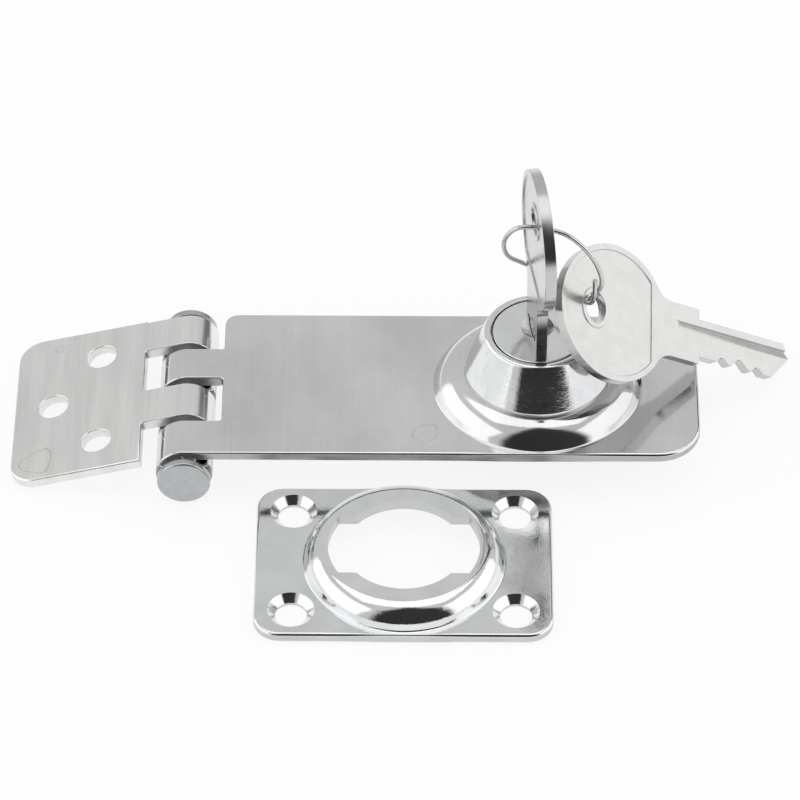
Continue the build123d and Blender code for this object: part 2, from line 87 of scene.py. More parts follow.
# The sheets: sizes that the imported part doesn't state, as in its own source
HASP_DOME_FOOT = 18.6 * MM
HASP_DOME_DRAFT = 3.5 * MM
HASP_SHOULDER = 6.4 * MM
HASP_SHOULDER_CORNER = 2.5 * MM
HASP_CORNER = 7.7 * MM
STRIKE_DOME_FOOT = 17.6 * MM
STRIKE_DOME_DRAFT = 2.5 * MM
STRIKE_CORNER = 4.6 * MM
LEAF_SHOULDER = 6.9 * MM
LEAF_REACH = 31 * MM
LEAF_CORNER = 4.5 * MM
TAB_ROOT = 0.5 * MM
KNUCKLES = (8.3 * MM, 8.1 * MM, 7.6 * MM, 7.4 * MM)
KNUCKLE_GAP = 1.4 * MM
KNUCKLE_ROLL = math.radians(302)
OPENING_RADIUS = 10.7 * MM
WING_RADIUS = 13.3 * MM
WING_WIDTH = 13.8 * MM
SCREW_HEAD_RADIUS = 4.1 * MM

# Each dome's flank bulges: its middle stands only this share of the draft inside the foot. Open
# edges past this share of the strip's half width are the foot.
BELLY = 0.3
FOOT_SHARE = 0.9

# Rims: the flat band left between a dome and its strip's rim, the points that split the rim beside
# a dome, and how the rounding thins from whole to light near domes, knuckles and screws
RIM_BAND = 0.35 * MM
RIM_POINTS = [reach * MM for reach in (0, 4, 6, 8, 10, 12, 14)]
RIM_TAPER = 3 * MM
LIGHT_RIM = 0.45
LEAF_RIM = 0.7

# The pin and the lock
PIN_HEAD = 1.4 * MM
PIN_PLAY = 0.05 * MM
PIN_ROUND = 0.4 * MM
PIN_INNER_ROUND = 0.15 * MM
BARREL_RADIUS = 9.5 * MM
BARREL_PLAY = 0.1 * MM
BARREL_FLATS = 16.8 * MM
BEZEL_TOP_RADIUS = 9.5 * MM
BEZEL_RIM = 0.8 * MM
BORE_RADIUS = 7.05 * MM
PLUG_HEAD = 2 * MM
PLUG_HEAD_GAP = 0.25 * MM
PLUG_RADIUS = 7 * MM
KEYWAY_OFFSET = 1.2 * MM
KEYWAY_PLAY = 0.1 * MM
KEYWAY_END = 0.2 * MM
DISH_RADIUS = 2.95 * MM
DISH_DEPTH = 1.1 * MM
TAIL_RADIUS = 6.2 * MM
TAIL_FLATS = 9 * MM
CLIP_GROOVE_LOW = 0.6 * MM
CLIP_GROOVE_HIGH = 1.45 * MM
CLIP_GROOVE_RADIUS = 5.5 * MM

# The keys
KEY_THICKNESS = 2 * MM
BOW_RADIUS = 12.5 * MM
BOW_TO_SHOULDER = 20.4 * MM
NECK_WIDTH = 10.2 * MM
NECK_BLEND = 4 * MM
BLADE_LENGTH = 22.2 * MM
BLADE_WIDTH = 7 * MM
BLADE_SHIFT = -0.3 * MM
TIP_AT = 0.6 * MM
TIP_LOWER = 4.4 * MM
TIP_UPPER = 1.5 * MM
CUT_DEPTHS = (0.95 * MM, 0, 1.5 * MM, 0, 0.95 * MM)
FIRST_CUT = 5.7 * MM
CUT_PITCH = 2.15 * MM
CUT_BASE = 0.8 * MM
CUT_SLOPE = math.radians(40)
PANEL_BORDER = 1.1 * MM
PANEL_CHORD = 8.8 * MM
PANEL_DEPTH = 0.25 * MM
HOLE_OFFSET = 4.4 * MM
HOLE_HALF_X = 2.25 * MM
HOLE_HALF_Y = 2.85 * MM
HOLE_BORDER = 0.9 * MM
GROOVE_TOP = 2 * MM
GROOVE_WALL = 0.3 * MM
GROOVE_WIDTH = 1.8 * MM
GROOVE_DEPTH = 0.6 * MM
GROOVE_RUN = 6.5 * MM
GROOVE_RAMP = 2.4 * MM

# Where the loose key and the ring hang, from the table under the lock's axis; the ring in mm
SPARE_BOW = Vector((12.754, 0.111, 27.113)) * MM
SPARE_ALONG = Vector((0.7629, 0.3075, -0.5686))
SPARE_FACE = Vector((0.6463, -0.3830, 0.6600))
RING_POINTS = (
    (9.6, -1.9, 36.9), (9.8, -2.1, 33.0), (8.8, -1.3, 30.4), (5.7, 4.4, 27.9), (1.5, 8.8, 28.8),
    (-2.8, 8.2, 31.8), (-6.0, 4.2, 37.0), (-6.6, 1.8, 43.0), (-4.3, 1.0, 46.9), (0.0, 1.0, 46.6),
    (5.0, 0.3, 45.7), (9.4, -0.9, 41.3), (11.2, -1.5, 36.0), (9.8, -0.9, 32.4), (8.2, 0.3, 29.8))

# How finely shapes are made, and what counts as the same point, a sharp edge and an upright one
MERGE = 0.001 * MM
SHARP_RIM = math.radians(50)
SHARP_SHADING = math.radians(40)
UPRIGHT = 0.9
COLUMN_SIDES = 96
SPHERE_RINGS = 64
ROLL_STEPS = 64
BOW_STEPS = 96
BLEND_STEPS = 10
BARREL_TOLERANCE = 0.02 * MM
FAR = 1.0

# Most of a noise pattern lies between these
PATTERN_LOW, PATTERN_HIGH = 0.3, 0.7

# Where dried drops have left their outlines
HASP_MARK = (3.4 * MM, 23.7 * MM, 10 * MM)
LEAF_MARK = (-65.5 * MM, 22.8 * MM, 3.2 * MM)
LEAF_DROP = (-62.8 * MM, 51.3 * MM, 3.9 * MM)

# The studio, in metres and degrees. Panels: name, azimuth, elevation, size, and which glow they
# take. Boards: name, azimuth of the middle, half width, soft share of it, height; each is darkest
# up to its middle, a share of its height.
FLOOR_HALF = 4
FLOOR_GLOW = 0.85
PANEL_DISTANCE = 2.2
PANELS = (
    ("left_panel", -84, 24, (3.6, 1.9), "side_glow"),
    ("right_panel", 84, 24, (3.6, 1.9), "side_glow"),
    ("top_panel", 180, 82, (2.4, 1.6), "top_glow"),
)
BOARD_RADIUS = 2.4
BOARD_DROP = 0.1
BOARD_LEAN = 0.1
BOARD_MIDDLE = 0.12
BOARD_STEPS = 24
BOARDS = (
    ("front_board", 9, 46, 0.2, 1.7),
    ("back_board", 141, 6, 0.5, 1.8),
)
SENSOR_WIDTH = 36
CAMERA_TARGET = Vector((-0.94, 32.08, 10)) * MM


def length(name, description, default):
    """A length that a user may change."""
    return bpy.props.FloatProperty(name=name, description=description, default=default,
                                   unit="LENGTH", subtype="DISTANCE")


def angle(name, description, degrees):
    """An angle that a user may change, given in degrees."""
    return bpy.props.FloatProperty(name=name, description=description,
                                   default=math.radians(degrees), unit="ROTATION", subtype="ANGLE")


def number(name, description, default):
    """A plain number that a user may change."""
    return bpy.props.FloatProperty(name=name, description=description, default=default)


def hex_colour(name, description, default):
    """A colour kept as sRGB hex digits."""
    return bpy.props.StringProperty(name=name, description=description, default=default, maxlen=7)


class HaspLockSizes(bpy.types.PropertyGroup):
    """Sizes that a user may change."""

    sheet: length("Sheet", "Thickness of the pressed sheet", 2 * MM)
    sheet_edge: length("Sheet edge", "Rounding along the sheet's rims", 0.6 * MM)
    hasp_shoulder: length("Hasp dome shoulder", "Rounding at the top of the hasp's dome", 5 * MM)
    strike_shoulder: length("Strike dome shoulder", "Rounding at the top of the strike's dome", 3 * MM)
    dome_blend: length("Dome foot", "Hollow blend where each dome meets its sheet", 0.4 * MM)
    key_edge: length("Key edge", "Rounding along the edges of the keys", 0.12 * MM)
    ring_wire: length("Ring wire", "Thickness of the key ring's wire", 0.85 * MM)
    turn_steps: bpy.props.IntProperty(
        name="Turn steps", description="Steps in a full turn of a round shape, a multiple of four",
        default=128, min=16)


class HaspLockColours(bpy.types.PropertyGroup):
    """Colours of the finishes and the studio, as sRGB hex values."""

    steel: hex_colour("Steel", "Nickel-plated sheet of the hasp", "#dedede")
    brushed: hex_colour("Brushed steel", "Brushed sheet of the leaf", "#ececeb")
    chrome: hex_colour("Chrome", "Polished chrome plating", "#e6e7e8")
    nickel: hex_colour("Nickel", "Nickel plating of the keys", "#cacac9")
    zinc: hex_colour("Zinc", "Bright zinc plating", "#b8babc")
    spring: hex_colour("Spring steel", "Drawn spring wire", "#cfcfcd")
    brass: hex_colour("Brass", "Stamped brass wafers", "#c8a860")
    floor: hex_colour("Floor", "Pale surface under the object", "#fbfbfb")
    felt: hex_colour("Felt", "Dark boards round the studio", "#3a3a3a")


class HaspLockStage(bpy.types.PropertyGroup):
    """The camera and the studio's lamps."""

    camera_pitch: angle("Camera pitch", "Height of the camera above the horizon", 43.88)
    camera_yaw: angle("Camera yaw", "Turn of the camera to the left of square on", -0.43)
    camera_distance: length("Camera distance", "From the camera to the middle of the picture", 921 * MM)
    lens: number("Lens", "Focal length on a 36 mm sensor, in millimetres", 232.86)
    side_glow: number("Side glow", "Brightness of the two side panels", 0.65)
    top_glow: number("Top glow", "Brightness of the panel overhead", 0.7)
    room_glow: number("Room glow", "Brightness of the pale room", 0.68)


def sizes():
    return bpy.context.scene.hasp_lock_sizes


def colour(name):
    """A finish's colour, turned from sRGB hex to linear."""
    digits = getattr(bpy.context.scene.hasp_lock_colours, name).lstrip("#")
    channels = [int(digits[i:i + 2], 16) / 255 for i in (0, 2, 4)]
    linear = [c / 12.92 if c <= 0.04045 else ((c + 0.055) / 1.055) ** 2.4 for c in channels]
    return (*linear, 1)


# Finishes


def add_node(tree, kind, inputs=None, **settings):
    """Adds a shader node, sets its options, and fills its inputs with values or other outputs."""
    made = tree.nodes.new("ShaderNode" + kind)
    for option, value in settings.items():
        setattr(made, option, value)
    for socket, value in (inputs or {}).items():
        if isinstance(value, bpy.types.NodeSocket):
            tree.links.new(value, made.inputs[socket])
        else:
            made.inputs[socket].default_value = value
    return made


def surface(name, base, roughness, metallic=1):
    """A plain surface: its material, node tree and shader. Only metals mirror."""
    material = bpy.data.materials.new(name)
    material.use_nodes = True
    tree = material.node_tree
    shader = tree.nodes["Principled BSDF"]
    shader.inputs["Base Color"].default_value = base
    shader.inputs["Metallic"].default_value = metallic
    shader.inputs["Roughness"].default_value = roughness
    if not metallic:
        shader.inputs["Specular IOR Level"].default_value = 0
    return material, tree, shader


def noise(tree, x, y=None, z=None, detail=3):
    """Noise with its own grain size along X, Y and Z; one size is enough where all are alike."""
    place = add_node(tree, "TexCoord")
    mapping = add_node(tree, "Mapping", {
        "Vector": place.outputs["Object"], "Scale": [1 / size for size in (x, y or x, z or x)]})
    made = add_node(tree, "TexNoise", {
        "Vector": mapping.outputs["Vector"], "Scale": 1.0, "Detail": detail})
    return made.outputs["Fac"]


def spread(tree, pattern, low, high):
    """A pattern's middle values, spread from low to high."""
    made = add_node(tree, "MapRange", {
        "Value": pattern, "From Min": PATTERN_LOW, "From Max": PATTERN_HIGH, "To Min": low, "To Max": high})
    return made.outputs["Result"]


def upright_rim_mask(tree):
    """1 on the sheet's upright rims, where shears cut it, and 0 on its faces. It makes the rims rougher, and in
    some finishes darker as painted shade.
    """
    coords = add_node(tree, "TexCoord")
    parts = add_node(tree, "SeparateXYZ", {"Vector": coords.outputs["Normal"]})
    level = add_node(tree, "Math", {0: parts.outputs["Z"]}, operation="ABSOLUTE")
    rim = add_node(tree, "MapRange", {
        "Value": level.outputs["Value"], "From Min": 0.12, "From Max": 0.3, "To Min": 1.0, "To Max": 0.0})
    return rim.outputs["Result"]


def vary_roughness(tree, shader, pattern, least, most, rim=0.0, on_rim=0.0):
    """Lets the roughness follow a pattern, and raises it on sheared rims."""
    rougher = add_node(tree, "Math", {0: rim, 1: on_rim, 2: spread(tree, pattern, least, most)},
                       operation="MULTIPLY_ADD")
    tree.links.new(rougher.outputs["Value"], shader.inputs["Roughness"])


def vary_tone(tree, shader, *layers):
    """Scales the colour by one pattern after another, each given with its low and its high."""
    tone = shader.inputs["Base Color"].default_value
    for pattern, low, high in layers:
        toned = add_node(tree, "HueSaturation", {"Color": tone, "Value": spread(tree, pattern, low, high)})
        tone = toned.outputs["Color"]
    tree.links.new(tone, shader.inputs["Base Color"])


def roughen(tree, shader, pattern, strength, depth):
    """Tilts the surface a little with a pattern, whose height is the depth."""
    bump = add_node(tree, "Bump", {"Height": pattern, "Strength": strength, "Distance": depth})
    tree.links.new(bump.outputs["Normal"], shader.inputs["Normal"])


def water_mark(tree, place, radius, width, wobble):
    """The thin outline of a dried drop, as a pattern that is low on the line."""
    coords = add_node(tree, "TexCoord")
    away = add_node(tree, "VectorMath", {0: coords.outputs["Object"], 1: place}, operation="DISTANCE")
    bend = noise(tree, 2 * radius, detail=2)
    bent = add_node(tree, "Math", {0: bend, 1: wobble, 2: away.outputs["Value"]}, operation="MULTIPLY_ADD")
    from_line = add_node(tree, "Math", {0: bent.outputs["Value"], 1: radius + wobble / 2}, operation="SUBTRACT")
    off = add_node(tree, "Math", {0: from_line.outputs["Value"]}, operation="ABSOLUTE")
    line = add_node(tree, "MapRange", {
        "Value": off.outputs["Value"], "From Min": 0.0, "From Max": width, "To Min": PATTERN_LOW,
        "To Max": PATTERN_HIGH})
    return line.outputs["Result"]


def polished_nickel_sheet(name):
    """Nickel-plated sheet: a soft mirror, streaked by wiping, with one dried drop; its colour is clouded as
    painted reflections of a slightly wavy sheet, and darkened on the rims as painted shade.
    """
    material, tree, shader = surface(name, colour("steel"), 0.07)
    streaks = noise(tree, 0.7 * MM, 30 * MM, 30 * MM)
    clouds = noise(tree, 14 * MM, 20 * MM, 14 * MM)
    rim = upright_rim_mask(tree)
    vary_roughness(tree, shader, clouds, 0.08, 0.13, rim, 0.3)
    drop = water_mark(tree, HASP_MARK, radius=2.2 * MM, width=0.16 * MM, wobble=4 * MM)
    # The clouds in the colour are painted reflections of a slightly wavy sheet.
    # The colour is darkened on the upright rims as painted shade.
    vary_tone(tree, shader, (rim, 1, 0.7), (clouds, 0.88, 1.06), (streaks, 0.98, 1.015),
              (drop, 0.78, 1), (noise(tree, 0.3 * MM), 0.97, 1.02))
    roughen(tree, shader, streaks, 0.1, 0.01 * MM)
    return material


def brushed_steel_sheet(name):
    """Sheet brushed along the hinge pin: fine lines that spread reflections across them."""
    material, tree, shader = surface(name, colour("brushed"), 0.2)
    lines = noise(tree, 0.35 * MM, 14 * MM, 0.35 * MM)
    bands = noise(tree, 3 * MM, 26 * MM, 3 * MM)
    vary_roughness(tree, shader, bands, 0.16, 0.24, upright_rim_mask(tree), 0.2)
    large_drop = water_mark(tree, LEAF_MARK, radius=2.6 * MM, width=0.18 * MM, wobble=5 * MM)
    small_drop = water_mark(tree, LEAF_DROP, radius=0.8 * MM, width=0.16 * MM, wobble=0.3 * MM)
    vary_tone(tree, shader, (lines, 0.96, 1.03), (bands, 0.93, 1.05), (large_drop, 0.74, 1),
              (small_drop, 0.8, 1))
    roughen(tree, shader, lines, 0.2, 0.02 * MM)
    return material


def decorative_chrome(name):
    """Chrome plating: a bright mirror, slightly hazy, that shows the pits of the metal below it."""
    material, tree, shader = surface(name, colour("chrome"), 0.08)
    peel = noise(tree, 1.6 * MM)
    haze = noise(tree, 5 * MM)
    grain = noise(tree, 0.25 * MM)
    rim = upright_rim_mask(tree)
    vary_roughness(tree, shader, haze, 0.05, 0.09, rim, 0.25)
    # The colour is darkened on the upright rims as painted shade.
    vary_tone(tree, shader, (rim, 1, 0.8), (haze, 0.92, 1.03), (grain, 0.95, 1.03))
    pitted = add_node(tree, "Math", {0: grain, 1: 0.45, 2: peel}, operation="MULTIPLY_ADD")
    roughen(tree, shader, pitted.outputs["Value"], 0.35, 0.05 * MM)
    return material


def nickel_plated_brass(name):
    """Tumbled key blank, nickel-plated: light, with a soft grain and small nicks."""
    material, tree, shader = surface(name, colour("nickel"), 0.24)
    grain = noise(tree, 0.35 * MM)
    patches = noise(tree, 3 * MM)
    vary_roughness(tree, shader, patches, 0.17, 0.27)
    vary_tone(tree, shader, (patches, 0.94, 1.04), (grain, 0.96, 1.03))
    roughen(tree, shader, grain, 0.12, 0.02 * MM)
    return material


def bright_zinc_plate(name):
    """Bright zinc plating over pressed steel: grey, slightly cloudy and grained."""
    material, tree, shader = surface(name, colour("zinc"), 0.28)
    clouds = noise(tree, 1.5 * MM)
    vary_roughness(tree, shader, clouds, 0.2, 0.36)
    vary_tone(tree, shader, (clouds, 0.93, 1.05), (noise(tree, 0.3 * MM), 0.93, 1.05))
    return material


def drawn_spring_wire(name):
    """Hard-drawn spring wire: bright, with fine pits left by the die."""
    material, tree, shader = surface(name, colour("spring"), 0.14)
    grain = noise(tree, 0.2 * MM)
    vary_roughness(tree, shader, grain, 0.1, 0.22)
    vary_tone(tree, shader, (grain, 0.88, 1.05))
    return material


def rolled_brass(name):
    """Rolled sheet brass, stamped and left unpolished: yellow, with a dull grain."""
    material, tree, shader = surface(name, colour("brass"), 0.3)
    grain = noise(tree, 0.4 * MM)
    vary_roughness(tree, shader, grain, 0.24, 0.4)
    vary_tone(tree, shader, (grain, 0.9, 1.05))
    return material


FINISHES = {
    "satin_steel": polished_nickel_sheet,
    "brushed_steel": brushed_steel_sheet,
    "polished_chrome": decorative_chrome,
    "nickel": nickel_plated_brass,
    "zinc": bright_zinc_plate,
    "spring_steel": drawn_spring_wire,
    "brass": rolled_brass,
}


def finish_of(slot):
    """The material of one of the record's slots, made once and named for the finish."""
    make = FINISHES[slot]
    return bpy.data.materials.get(make.__name__) or make(make.__name__)


# Mesh helpers


def wire(bm, points, closed=False):
    """Joins a few points in order and gives their vertices."""
    verts = [bm.verts.new(point) for point in points]
    following = verts[1:] + verts[:1] if closed else verts[1:]
    for pair in zip(verts, following):
        bm.edges.new(pair)
    return verts


def verts_in(geom):
    return [part for part in geom if isinstance(part, bmesh.types.BMVert)]


def edge_middle(edge):
    return (edge.verts[0].co + edge.verts[1].co) / 2


def round_corner(bm, vert, offset, segments=8):
    bmesh.ops.bevel(bm, geom=[vert], offset=offset, offset_type="OFFSET", segments=segments,
                    profile=0.5, affect="VERTICES", material=-1)


def revolve(bm, centre, axis=UP):
    """Spins all that is drawn once round an axis and closes it."""
    bmesh.ops.spin(bm, geom=bm.verts[:] + bm.edges[:], cent=centre, axis=axis, angle=FULL_TURN,
                   steps=sizes().turn_steps, use_merge=True)
    bmesh.ops.remove_doubles(bm, verts=bm.verts, dist=MERGE)


def thicken(bm, along):
    """Extrudes the flat faces into a solid."""
    grown = bmesh.ops.extrude_face_region(bm, geom=bm.faces[:])["geom"]
    bmesh.ops.translate(bm, verts=verts_in(grown), vec=along)
    bmesh.ops.recalc_face_normals(bm, faces=bm.faces)


def put_in_scene(name, data):
    made = bpy.data.objects.new(name, data)
    bpy.context.scene.collection.objects.link(made)
    return made


def new_object(name, bm):
    """Ends a mesh edit and puts its result in the scene."""
    mesh = bpy.data.meshes.new(name)
    bm.to_mesh(mesh)
    bm.free()
    return put_in_scene(name, mesh)


def final_mesh(piece):
    """A piece's mesh with its modifiers applied."""
    graph = bpy.context.evaluated_depsgraph_get()
    return bpy.data.meshes.new_from_object(piece.evaluated_get(graph))


def settle(piece):
    """Applies a piece's modifiers."""
    mesh = final_mesh(piece)
    piece.modifiers.clear()
    piece.data = mesh


def cut(piece, cutters):
    """Takes the cutters' volume out of a piece and removes the cutters."""
    for cutter in cutters:
        hollow = piece.modifiers.new(cutter.name, "BOOLEAN")
        hollow.operation = "DIFFERENCE"
        hollow.solver = "EXACT"
        hollow.object = cutter
    settle(piece)
    for cutter in cutters:
        bpy.data.objects.remove(cutter)


def box(name, low, high):
    corners = [(low[0], low[1]), (high[0], low[1]), (high[0], high[1]), (low[0], high[1])]
    bm = bmesh.new()
    bm.faces.new(wire(bm, [(x, y, low[2]) for x, y in corners], closed=True))
    thicken(bm, (0, 0, high[2] - low[2]))
    return new_object(name, bm)


def column(name, centre, radii, base, height, ellipse=1.0):
    """A round or oval solid whose radius changes from its lower to its upper end."""
    bm = bmesh.new()
    bmesh.ops.create_cone(bm, cap_ends=True, segments=COLUMN_SIDES, radius1=radii[0],
                          radius2=radii[1], depth=height)
    bmesh.ops.scale(bm, verts=bm.verts, vec=(1, ellipse, 1))
    bmesh.ops.translate(bm, verts=bm.verts, vec=(centre[0], centre[1], base + height / 2))
    return new_object(name, bm)


def sphere(name, centre, radius):
    bm = bmesh.new()
    bmesh.ops.create_uvsphere(bm, u_segments=COLUMN_SIDES, v_segments=SPHERE_RINGS, radius=radius)
    bmesh.ops.translate(bm, verts=bm.verts, vec=centre)
    return new_object(name, bm)


def turned(name, centre, profile, axis=UP, across=Vector((1, 0, 0))):
    """A lathe-turned solid. Each point of its profile is a radius, a place along the axis and,
    where the corner is rounded, by how much."""
    bm = bmesh.new()
    verts = wire(bm, [centre + across * point[0] + axis * point[1] for point in profile],
                 closed=True)
    for vert, point in zip(verts, profile):
        if len(point) == 3:
            round_corner(bm, vert, point[2], segments=5)
    revolve(bm, centre, axis)
    on_axis = [edge for edge in bm.edges if not edge.link_faces]
    bmesh.ops.delete(bm, geom=on_axis, context="EDGES")
    bmesh.ops.recalc_face_normals(bm, faces=bm.faces)
    return new_object(name, bm)


def flats(half, reach, base, top, centre=(0, 0)):
    """Two blocks that leave a flat on either side of a round shape."""
    blocks = []
    for side in (-1, 1):
        near, far = sorted((centre[0] + side * half, centre[0] + side * reach))
        blocks.append(box("flat", (near, centre[1] - reach, base), (far, centre[1] + reach, top)))
    return blocks


# Sheets: each is drawn as its upper face and then grown downwards


def pressed_dome(bm, centre, top, foot, draft, shoulder, inner, half_width):
    """The upper face of a dome pressed in a strip: spun, then squeezed until its foot lies inside
    the strip. The centre is level with the strip's upper face."""
    seat = centre.z
    skirt = foot + sizes().dome_blend
    squeeze = min(1, (half_width - RIM_BAND) / skirt)
    crown = Vector((foot - draft, top))
    belly = Vector((foot - BELLY * draft, (seat + top) / 2))
    toe = Vector((foot, seat))
    profile = ((inner / squeeze, top), crown, belly, toe, (skirt, seat))
    verts = wire(bm, [(centre.x + radius, centre.y, height) for radius, height in profile])
    upper, lower = belly - crown, toe - belly
    upper_turn, lower_turn = (math.atan2(-flank.y, flank.x) for flank in (upper, lower))
    round_corner(bm, verts[1], shoulder * math.tan(upper_turn / 2), segments=12)
    round_corner(bm, verts[2], upper.length / 3)
    round_corner(bm, verts[3], sizes().dome_blend * math.tan(lower_turn / 2))
    revolve(bm, (centre.x, centre.y, 0))
    bmesh.ops.scale(bm, verts=bm.verts, vec=(1, squeeze, 1), space=Matrix.Translation(-centre))


def strip_side(bm, centre, half_width, outline, corners):
    """Fills the flat sheet on one side of a dome, from the dome's foot to an outline that runs from
    front to back; corners are rounded by their number in the outline."""
    side = math.copysign(1, outline[0][0] - centre.x)
    middles = [(edge, edge_middle(edge) - centre) for edge in bm.edges if edge.is_boundary]
    arc = [edge for edge, away in middles
           if away.x * side > 0 and away.xy.length > FOOT_SHARE * half_width]
    foot = sorted({vert for edge in arc for vert in edge.verts}, key=lambda vert: vert.co.y)
    past = [centre.x + side * reach for reach in RIM_POINTS]
    points = ([(x, centre.y - half_width) for x in past] + outline
              + [(x, centre.y + half_width) for x in reversed(past)])
    verts = wire(bm, [(x, y, centre.z) for x, y in points])
    bm.edges.new((foot[0], verts[0]))
    bm.edges.new((verts[-1], foot[-1]))
    for place, radius in corners.items():
        round_corner(bm, verts[len(past) + place], radius)
    bmesh.ops.edgeloop_fill(bm, edges=arc + [edge for edge in bm.edges if edge.is_wire])
    bmesh.ops.remove_doubles(bm, verts=bm.verts, dist=MERGE)


def knuckle_ends():
    """Where each knuckle starts and ends along the hinge, from the front."""
    start = hasp_low.y
    ends = []
    for width in KNUCKLES:
        ends.append((start, start + width))
        start += width + KNUCKLE_GAP
    return ends


def face_up(bm):
    """Turns an open sheet's upper face to the outside."""
    bmesh.ops.recalc_face_normals(bm, faces=bm.faces)
    widest = max(bm.faces, key=lambda face: face.calc_area())
    if widest.normal.z < 0:
        bmesh.ops.reverse_faces(bm, faces=bm.faces)


def roll_knuckles(bm, direction):
    """Rolls the sheet that ends over the hinge's axis round the pin."""
    face_up(bm)
    tabs = [edge for edge in bm.edges if edge.is_boundary
            and all(abs(vert.co.x - hinge_axis.x) < MERGE for vert in edge.verts)]
    bmesh.ops.spin(bm, geom=tabs + list({vert for edge in tabs for vert in edge.verts}),
                   cent=hinge_axis, axis=(0, direction, 0), angle=KNUCKLE_ROLL, steps=ROLL_STEPS)


def sheet_piece(name, bm):
    """A piece grown downwards from a sheet's upper face."""
    face_up(bm)
    piece = new_object(name, bm)
    solid = piece.modifiers.new("sheet", "SOLIDIFY")
    solid.thickness = sizes().sheet
    solid.offset = -1
    solid.use_even_offset = True
    settle(piece)
    return piece


def mark_rims(piece, centre=hinge_axis, opening=0, foot=0):
    """Weights a sheet's rims for rounding: less near a dome's foot, the knuckles and the screws,
    and none in the barrel, in the opening, in the hollow or on upright edges."""
    bm = bmesh.new()
    bm.from_mesh(piece.data)
    weight = bm.edges.layers.float.new("bevel_weight_edge")
    for edge in bm.edges:
        if not edge.is_manifold or edge.calc_face_angle() < SHARP_RIM:
            continue
        middle = edge_middle(edge)
        along = (edge.verts[0].co - edge.verts[1].co).normalized()
        from_hinge = (middle - hinge_axis).xz.length
        from_dome = (middle - centre).xy.length
        in_barrel = from_hinge < barrel_radius - BARREL_TOLERANCE
        in_hollow = from_dome < foot - MM and middle.z < centre.z - MM
        if abs(along.z) > UPRIGHT or in_barrel or in_hollow or from_dome < opening:
            continue
        from_screw = min((middle - hole).xy.length for hole in strike_holes + leaf_holes)
        room = min(from_hinge - LEAF_SHOULDER, from_dome - foot) / RIM_TAPER
        near_screw = from_screw < SCREW_HEAD_RADIUS + MM
        edge[weight] = LIGHT_RIM if near_screw else min(1, max(LIGHT_RIM, room))
    bm.to_mesh(piece.data)
    bm.free()


def dress(piece, slot, body, replaced, edge=None, segments=3):
    """Rounds a piece's edges, shades it, gives it its finish and hangs it on its body."""
    if edge:
        rounded = piece.modifiers.new("edges", "BEVEL")
        rounded.width = edge
        rounded.segments = segments
        weighted = "bevel_weight_edge" in piece.data.attributes
        rounded.limit_method = "WEIGHT" if weighted else "ANGLE"
        rounded.angle_limit = SHARP_RIM
        rounded.use_clamp_overlap = False
        settle(piece)
    piece.data.shade_smooth()
    piece.data.set_sharp_from_angle(angle=SHARP_SHADING)
    flat = piece.modifiers.new("shading", "WEIGHTED_NORMAL")
    flat.keep_sharp = True
    settle(piece)
    piece.data.name = piece.name
    piece.data.materials.clear()
    piece.data.materials.append(finish_of(slot))
    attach(piece, body)
    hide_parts(replaced)


# Pieces


def make_hasp():
    """Sheet with two rolled knuckles and a dome."""
    bm = bmesh.new()
    middle = Vector((lock_axis.x, lock_axis.y, plate_top))
    half_width = (hasp_high.y - hasp_low.y) / 2
    pressed_dome(bm, middle, hasp_high.z, HASP_DOME_FOOT, HASP_DOME_DRAFT, sizes().hasp_shoulder,
                 BARREL_RADIUS + BARREL_PLAY, half_width)
    front, _, third, _ = knuckle_ends()
    over_pin, shoulder = hinge_axis.x, hinge_axis.x + HASP_SHOULDER
    hinge_side = [(over_pin, hasp_low.y), (over_pin, front[1]), (shoulder, front[1]),
                  (shoulder, third[0]), (over_pin, third[0]), (over_pin, third[1]),
                  (shoulder, third[1]), (shoulder, hasp_high.y)]
    free_end = [(hasp_high.x, hasp_low.y), (hasp_high.x, hasp_high.y)]
    strip_side(bm, middle, half_width, hinge_side,
               {2: TAB_ROOT, 3: TAB_ROOT, 6: TAB_ROOT, 7: HASP_SHOULDER_CORNER})
    strip_side(bm, middle, half_width, free_end, {0: HASP_CORNER, 1: HASP_CORNER})
    roll_knuckles(bm, -1)
    piece = sheet_piece("hasp_sheet", bm)
    mark_rims(piece, middle, BARREL_RADIUS + MM, HASP_DOME_FOOT)
    dress(piece, "satin_steel", "hasp", "hasp_plate", sizes().sheet_edge)


